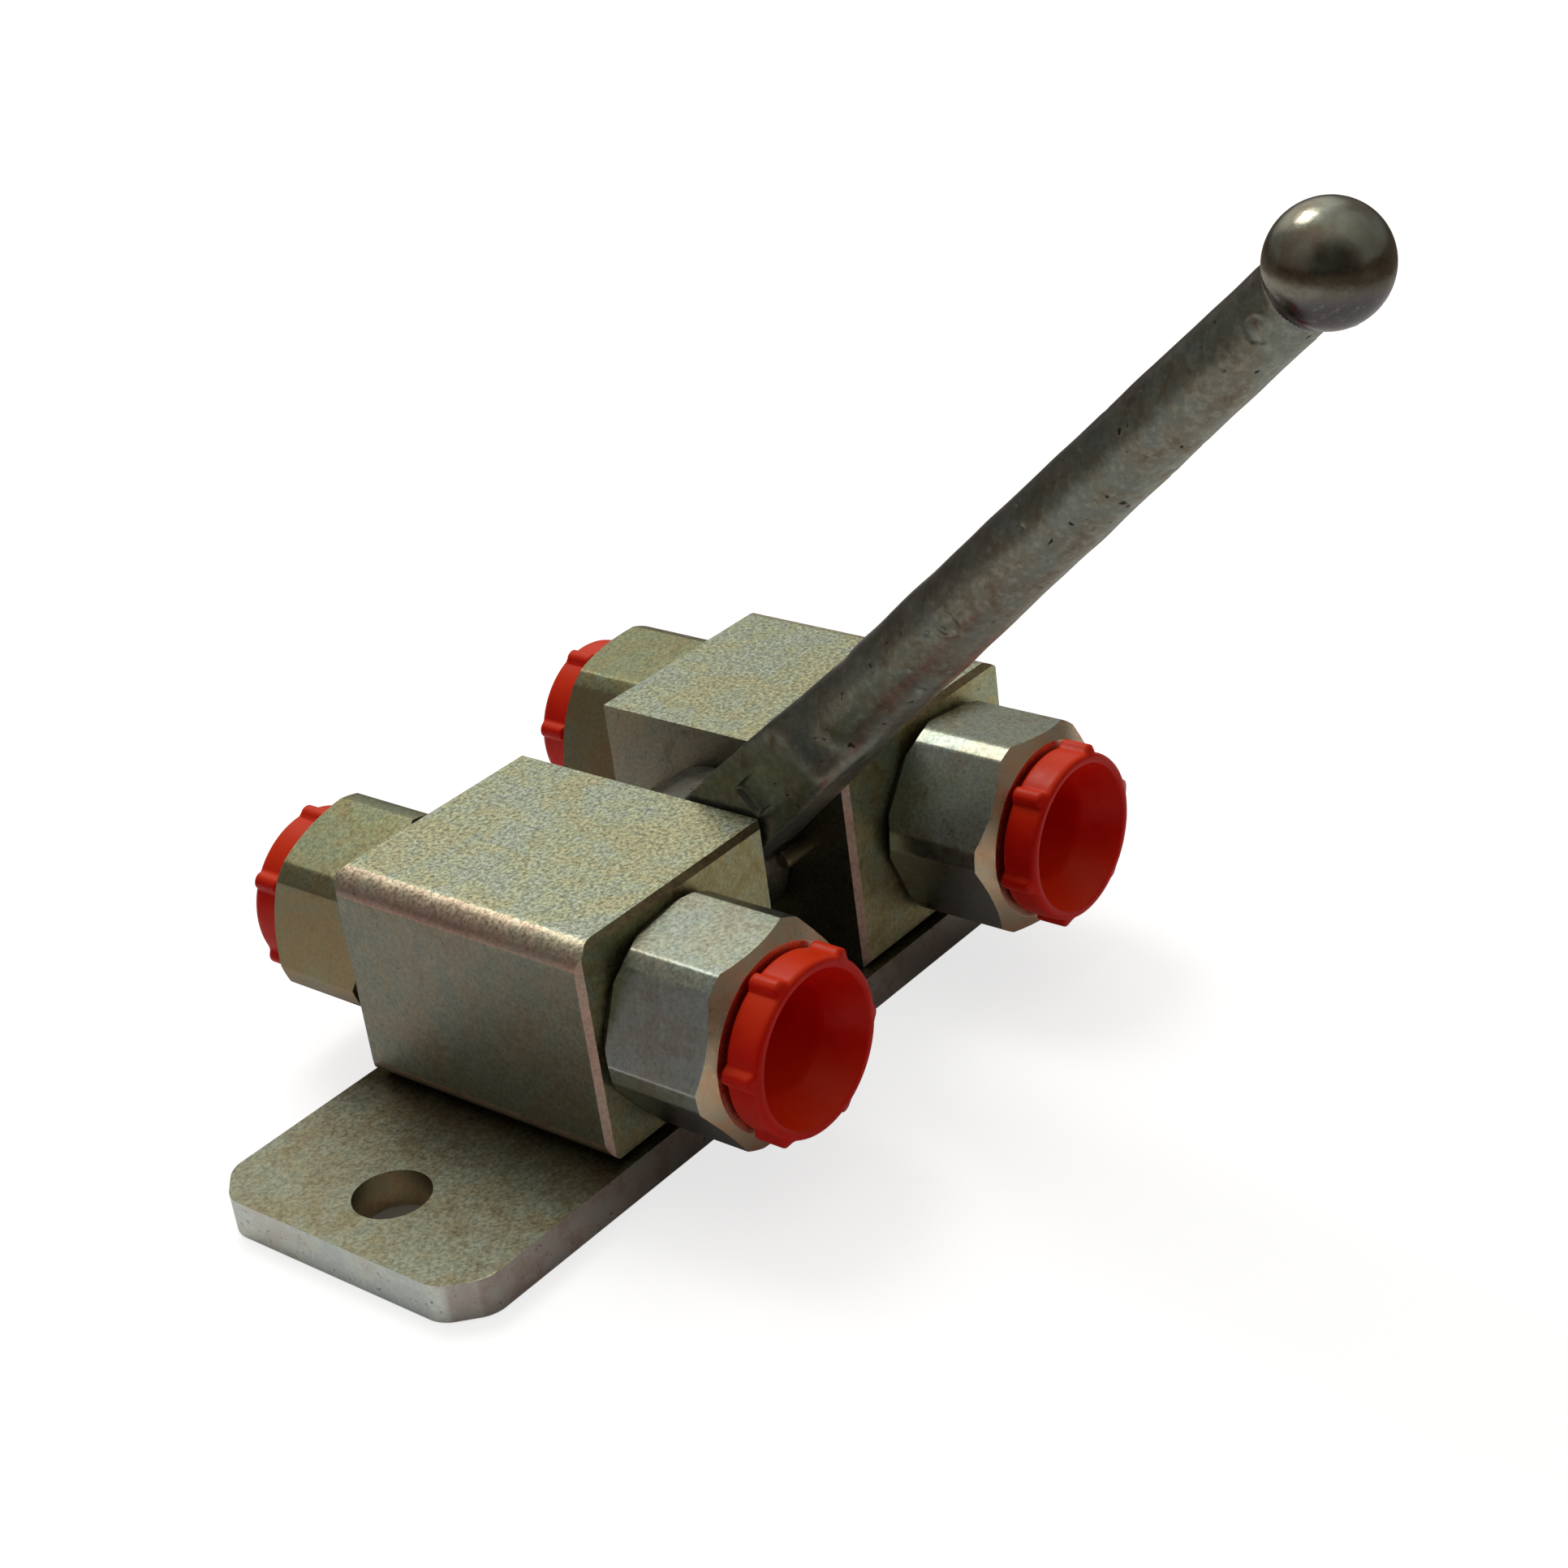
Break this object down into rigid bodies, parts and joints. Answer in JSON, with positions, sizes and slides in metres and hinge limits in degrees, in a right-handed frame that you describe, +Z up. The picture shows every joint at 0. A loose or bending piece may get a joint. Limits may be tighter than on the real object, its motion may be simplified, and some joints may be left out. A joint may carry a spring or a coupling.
{
  "type": "tandem ball valve block",
  "caption": "Tandem steel ball valve block: ported blocks side by side on a bolt-down plate, turned together by a ball-ended lever, ports closed with push-in plugs.",
  "frame": {"origin": "centre of the mounting plate's underside, midway between the two valve blocks and between the two mounting holes", "axes": "+X along the plate towards the rear block, +Y along the flow through the ports, +Z up from the plate"},
  "size_m": [0.1626, 0.1686, 0.1357],
  "materials": {
    "plate_zinc": "yellow-chromated zinc on hot-rolled flat bar, grainy, semi-matt",
    "block_zinc": "yellow-chromated zinc on drawn steel, greenish gold, grainy top",
    "connector_zinc": "yellow-chromated zinc on turned hexagon bar, satin",
    "plug_plastic": "moulded polyethylene, soft gloss",
    "ball_steel": "hard-chromed, polished",
    "seat_plastic": "machined acetal",
    "seal_rubber": "nitrile rubber",
    "stem_steel": "ground steel",
    "lever_casting": "die-cast zinc alloy, dark grey, mottled, semi-gloss",
    "dark_screw": "blackened alloy steel",
    "screw_steel": "bright zinc-plated steel"
  },
  "bodies": {
    "plate_assembly": {"mounting_plate": "plate_zinc", "front_block": "block_zinc", "rear_block": "block_zinc", "front_right_connector": "connector_zinc", "front_left_connector": "connector_zinc", "rear_right_connector": "connector_zinc", "rear_left_connector": "connector_zinc", "front_right_seat": "seat_plastic", "front_left_seat": "seat_plastic", "rear_right_seat": "seat_plastic", "rear_left_seat": "seat_plastic", "front_right_o_ring": "seal_rubber", "front_left_o_ring": "seal_rubber", "rear_right_o_ring": "seal_rubber", "rear_left_o_ring": "seal_rubber", "front_stem_washer": "seat_plastic", "rear_stem_washer": "seat_plastic", "stop_pins": "screw_steel", "block_screws": "screw_steel"},
    "lever_and_stems": {"lever": "lever_casting", "lever_set_screws": "dark_screw", "front_stem": "stem_steel", "rear_stem": "stem_steel", "front_stem_o_ring": "seal_rubber", "rear_stem_o_ring": "seal_rubber", "front_ball": "ball_steel", "rear_ball": "ball_steel"},
    "front_right_plug_body": {"front_right_plug": "plug_plastic"},
    "front_left_plug_body": {"front_left_plug": "plug_plastic"},
    "rear_right_plug_body": {"rear_right_plug": "plug_plastic"},
    "rear_left_plug_body": {"rear_left_plug": "plug_plastic"}
  },
  "joints": [
    {"name": "lever_turn", "type": "hinge", "parent": "plate_assembly", "child": "lever_and_stems", "pos_m": [0, 0, 0.0235], "axis": [-1, 0, 0], "range_deg": [0, 90]},
    {"name": "front_right_plug_pull", "type": "slide", "parent": "plate_assembly", "child": "front_right_plug_body", "axis": [0, -1, 0], "range_m": [0, 0.03]},
    {"name": "front_left_plug_pull", "type": "slide", "parent": "plate_assembly", "child": "front_left_plug_body", "axis": [0, 1, 0], "range_m": [0, 0.03]},
    {"name": "rear_right_plug_pull", "type": "slide", "parent": "plate_assembly", "child": "rear_right_plug_body", "axis": [0, -1, 0], "range_m": [0, 0.03]},
    {"name": "rear_left_plug_pull", "type": "slide", "parent": "plate_assembly", "child": "rear_left_plug_body", "axis": [0, 1, 0], "range_m": [0, 0.03]}
  ]
}
